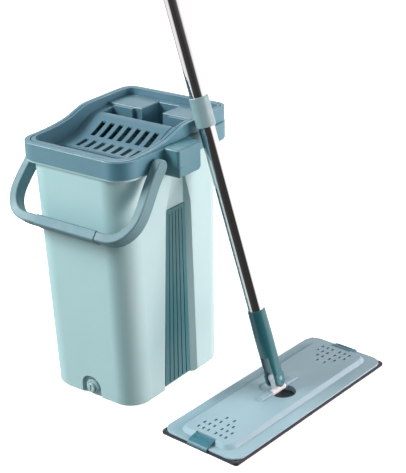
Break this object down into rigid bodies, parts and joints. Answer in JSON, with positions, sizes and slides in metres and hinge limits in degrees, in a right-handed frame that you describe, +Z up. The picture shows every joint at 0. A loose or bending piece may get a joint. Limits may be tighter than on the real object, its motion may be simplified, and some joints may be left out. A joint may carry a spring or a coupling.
{
  "type": "flat mop and wringer bucket set",
  "caption": "Tall tapered bucket with a clip-on wringer cover, carrying bail and drain plug, and a flat swivel-head mop on a sectioned steel pole leaning on it.",
  "frame": {"origin": "centre of the bucket's base on the floor", "axes": "+Z up, -Y towards the bucket's front face with the drain plug, +X towards the side where the mop stands"},
  "size_m": [0.4205, 0.3535, 1.1266],
  "materials": {
    "bucket_plastic": "satin moulded polypropylene, pale aqua",
    "cover_plastic": "satin moulded plastic, teal",
    "insert_plastic": "satin moulded plastic, blue teal",
    "dark_plastic": "satin moulded plastic, dark teal",
    "bail_plastic": "satin moulded plastic, grey teal",
    "plate_plastic": "satin moulded plastic, light blue aqua",
    "clip_plastic": "satin moulded plastic, teal",
    "sleeve_plastic": "satin moulded plastic, dark teal",
    "collar_plastic": "satin moulded plastic, light aqua",
    "plug_plastic": "translucent soft plastic",
    "cross_plastic": "moulded acetal, off white",
    "roller_plastic": "moulded acetal, off white",
    "seal_rubber": "soft dark rubber",
    "pad_fabric": "looped microfibre pile on a dark backing",
    "hook_tape": "woven hook tape",
    "steel": "bright zinc plated",
    "pole_steel": "polished stainless steel tube"
  },
  "bodies": {
    "bucket": {"bucket_body": "bucket_plastic", "drain_grommet": "seal_rubber", "rib_panel_right": "dark_plastic", "rib_panel_left": "dark_plastic", "top_cover": "cover_plastic", "wash_frame": "cover_plastic", "washboard": "insert_plastic", "wringer_deck": "insert_plastic", "side_housing_right": "cover_plastic", "bail_studs": "cover_plastic", "deck_screws": "steel", "roller_pins": "steel", "scraper_holder": "insert_plastic", "scraper_lip": "seal_rubber"},
    "bail": {"bail_frame": "bail_plastic", "bail_grip": "bail_plastic"},
    "drain_stopper": {"drain_plug": "plug_plastic"},
    "roller_r": {"roller_right": "roller_plastic"},
    "roller_l": {"roller_left": "roller_plastic"},
    "mop_head": {"mop_pad": "pad_fabric", "hook_strips": "hook_tape", "mop_plate": "plate_plastic", "axle_rail": "plate_plastic", "tilt_pin": "steel", "clip_pins": "steel"},
    "clip_far": {"pad_clip_far": "clip_plastic"},
    "clip_near": {"pad_clip_near": "clip_plastic"},
    "swivel": {"swivel_cross": "cross_plastic"},
    "pole": {"yoke_sleeve": "sleeve_plastic", "yoke_pin": "steel", "pole_tube_1": "pole_steel", "pole_tube_2": "pole_steel", "pole_tube_3": "pole_steel", "pole_tube_4": "pole_steel", "joint_collar_1": "collar_plastic", "joint_collar_2": "collar_plastic", "joint_collar_3": "collar_plastic", "screw_ferrule_1": "dark_plastic", "screw_ferrule_2": "dark_plastic", "screw_ferrule_3": "dark_plastic", "top_grip": "sleeve_plastic"}
  },
  "joints": [
    {"name": "bail_swing", "type": "hinge", "parent": "bucket", "child": "bail", "pos_m": [0, -0.063, 0.3435], "axis": [-1, 0, 0], "range_deg": [-3.5, 163]},
    {"name": "drain_pull", "type": "slide", "parent": "bucket", "child": "drain_stopper", "axis": [0, -1, 0], "range_m": [0, 0.025]},
    {"name": "roller_right_spin", "type": "hinge", "parent": "bucket", "child": "roller_r", "pos_m": [0.04, 0.0455, 0.333], "axis": [1, 0, 0], "continuous": true},
    {"name": "roller_left_spin", "type": "hinge", "parent": "bucket", "child": "roller_l", "pos_m": [-0.04, 0.0455, 0.333], "axis": [1, 0, 0], "continuous": true},
    {"name": "mop_lift", "type": "slide", "parent": "bucket", "child": "mop_head", "axis": [0, 0, 1], "range_m": [0, 0.45]},
    {"name": "head_tilt", "type": "hinge", "parent": "mop_head", "child": "swivel", "pos_m": [0.2134, 0.0379, 0.0135], "axis": [0.068, 0.9977, 0], "range_deg": [0, 70]},
    {"name": "head_swing", "type": "hinge", "parent": "swivel", "child": "pole", "pos_m": [0.20842, 0.03824, 0.02996], "axis": [-0.9547, 0.0651, -0.2904], "range_deg": [-0.4, 72]},
    {"name": "clip_far_flip", "type": "hinge", "parent": "mop_head", "child": "clip_far", "pos_m": [0.22375, 0.18975, 0.0106], "axis": [0.9977, -0.068, 0], "range_deg": [0, 75]},
    {"name": "clip_near_flip", "type": "hinge", "parent": "mop_head", "child": "clip_near", "pos_m": [0.20305, -0.11395, 0.0106], "axis": [-0.9977, 0.068, 0], "range_deg": [0, 75]}
  ]
}
